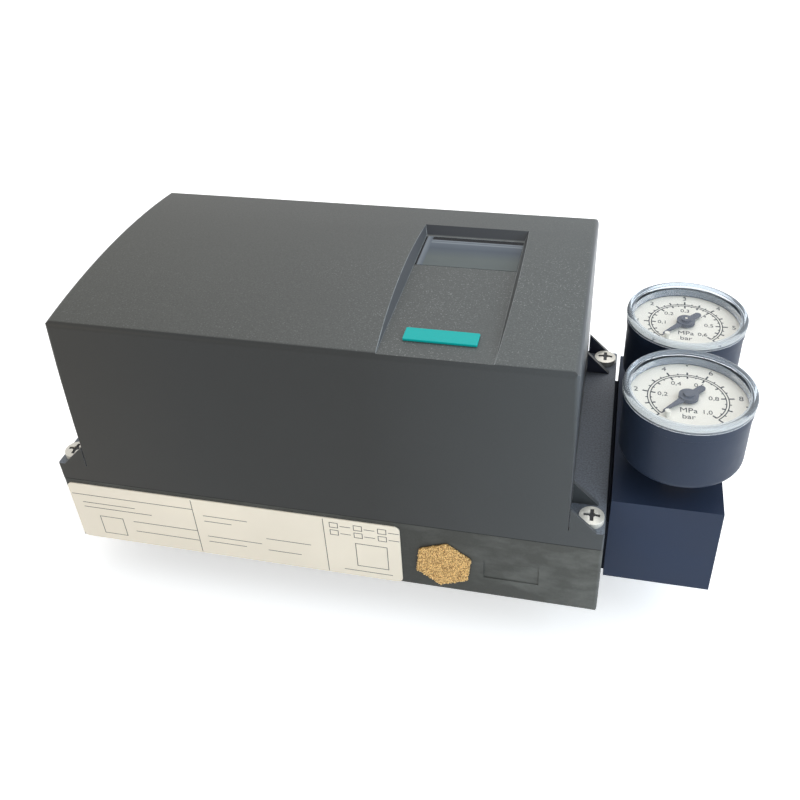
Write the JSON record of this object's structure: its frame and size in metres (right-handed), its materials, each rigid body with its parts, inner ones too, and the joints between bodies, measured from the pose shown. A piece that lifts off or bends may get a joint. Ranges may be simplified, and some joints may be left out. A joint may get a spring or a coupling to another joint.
{
  "type": "valve positioner",
  "caption": "Electro-pneumatic valve positioner in a plastic housing with an arched windowed cover, and a block with pressure gauges on one end.",
  "frame": {"origin": "feedback shaft axis at the rear mounting face, the middle of the rear bolt pattern", "axes": "+Z out through the cover, +X along the housing towards the gauge block, the labelled long side faces -Y"},
  "size_m": [0.2482, 0.096, 0.1153],
  "materials": {
    "base_plastic": "fine moulded grain",
    "cover_plastic": "fine sparkly moulded grain",
    "clear_plastic": "clear",
    "badge": "satin",
    "label": "satin",
    "steel": "bright",
    "bronze": "sintered",
    "brass": "machined",
    "rubber": "matte",
    "block_metal": "anodised",
    "gauge_case": "satin",
    "dial": "printed",
    "pointer": "matte",
    "black_plastic": "matte",
    "white_plastic": "matte",
    "grey_plastic": "matte",
    "blue_plastic": "matte",
    "yellow_plastic": "matte",
    "board": "solder mask",
    "lcd": "liquid crystal display"
  },
  "bodies": {
    "housing": {"base_housing": "base_plastic", "cover": "cover_plastic", "cover_gasket": "rubber", "window_pane": "clear_plastic", "badge_plate": "badge", "cover_screws": "steel", "name_label": "label", "silencer": "bronze", "rear_inserts": "brass", "bearing_bush": "bronze", "shaft_seal": "rubber", "potentiometer": "blue_plastic", "pneumatic_block": "black_plastic", "pilot_valves": "black_plastic", "board_carrier": "grey_plastic", "main_board": "board", "carrier_screws": "steel", "display_tower": "black_plastic", "display_board": "board", "lcd_display": "lcd", "button_switches": "black_plastic", "terminal_block": "grey_plastic", "terminal_screws": "steel", "earth_screw": "steel", "gland_body": "black_plastic", "gland_nut": "black_plastic", "gland_seal": "rubber", "blanking_plug": "black_plastic", "block_gasket": "rubber", "gauge_block": "block_metal", "gauge_block_screws": "steel", "front_gauge_stem": "brass", "front_gauge_case": "gauge_case", "front_gauge_tube": "brass", "front_gauge_movement": "brass", "front_gauge_dial": "dial", "front_gauge_lens": "clear_plastic", "rear_gauge_stem": "brass", "rear_gauge_case": "gauge_case", "rear_gauge_tube": "brass", "rear_gauge_movement": "brass", "rear_gauge_dial": "dial", "rear_gauge_lens": "clear_plastic"},
    "shaft": {"feedback_shaft": "steel", "shaft_ring": "steel", "shaft_gear": "white_plastic"},
    "friction_wheel": {"friction_wheel": "yellow_plastic"},
    "pot_shaft": {"pot_pinion": "white_plastic"},
    "ratio_selector": {"ratio_selector": "white_plastic"},
    "mode_button": {"mode_button": "white_plastic"},
    "minus_button": {"minus_button": "white_plastic"},
    "plus_button": {"plus_button": "white_plastic"},
    "front_pointer": {"front_gauge_pointer": "pointer"},
    "front_sector": {"front_gauge_sector": "brass"},
    "rear_pointer": {"rear_gauge_pointer": "pointer"},
    "rear_sector": {"rear_gauge_sector": "brass"}
  },
  "joints": [
    {"name": "shaft_turn", "type": "hinge", "parent": "housing", "child": "shaft", "pos_m": [0, 0, 0], "axis": [0, 0, 1], "range_deg": [-50, 50]},
    {"name": "pot_turn", "type": "hinge", "parent": "housing", "child": "pot_shaft", "pos_m": [-0.02415, 0, 0], "axis": [0, 0, 1], "range_deg": [-150, 150]},
    {"name": "friction_turn", "type": "hinge", "parent": "shaft", "child": "friction_wheel", "pos_m": [0, 0, 0.048], "axis": [0, 0, 1], "continuous": true},
    {"name": "ratio_turn", "type": "hinge", "parent": "housing", "child": "ratio_selector", "pos_m": [-0.02415, 0.0145, 0.045], "axis": [0, 0, 1], "range_deg": [0, 90]},
    {"name": "mode_press", "type": "slide", "parent": "housing", "child": "mode_button", "axis": [0, 0, -1], "range_m": [0, 0.0012], "stiffness_N_per_m": 600},
    {"name": "minus_press", "type": "slide", "parent": "housing", "child": "minus_button", "axis": [0, 0, -1], "range_m": [0, 0.0012], "stiffness_N_per_m": 600},
    {"name": "plus_press", "type": "slide", "parent": "housing", "child": "plus_button", "axis": [0, 0, -1], "range_m": [0, 0.0012], "stiffness_N_per_m": 600},
    {"name": "front_pointer_turn", "type": "hinge", "parent": "housing", "child": "front_pointer", "pos_m": [0.11305, -0.0168, 0.06], "axis": [0, 0, 1], "range_deg": [-270, 0]},
    {"name": "front_sector_turn", "type": "hinge", "parent": "housing", "child": "front_sector", "pos_m": [0.10399, -0.0168, 0.06], "axis": [0, 0, 1], "range_deg": [0, 54]},
    {"name": "rear_pointer_turn", "type": "hinge", "parent": "housing", "child": "rear_pointer", "pos_m": [0.11305, 0.0242, 0.06], "axis": [0, 0, 1], "range_deg": [-270, 0]},
    {"name": "rear_sector_turn", "type": "hinge", "parent": "housing", "child": "rear_sector", "pos_m": [0.10399, 0.0242, 0.06], "axis": [0, 0, 1], "range_deg": [0, 54]}
  ],
  "couplings": [
    {"joint": "pot_turn", "follows": "shaft_turn", "ratio": -3},
    {"joint": "front_pointer_turn", "follows": "front_sector_turn", "ratio": -5},
    {"joint": "rear_pointer_turn", "follows": "rear_sector_turn", "ratio": -5}
  ]
}
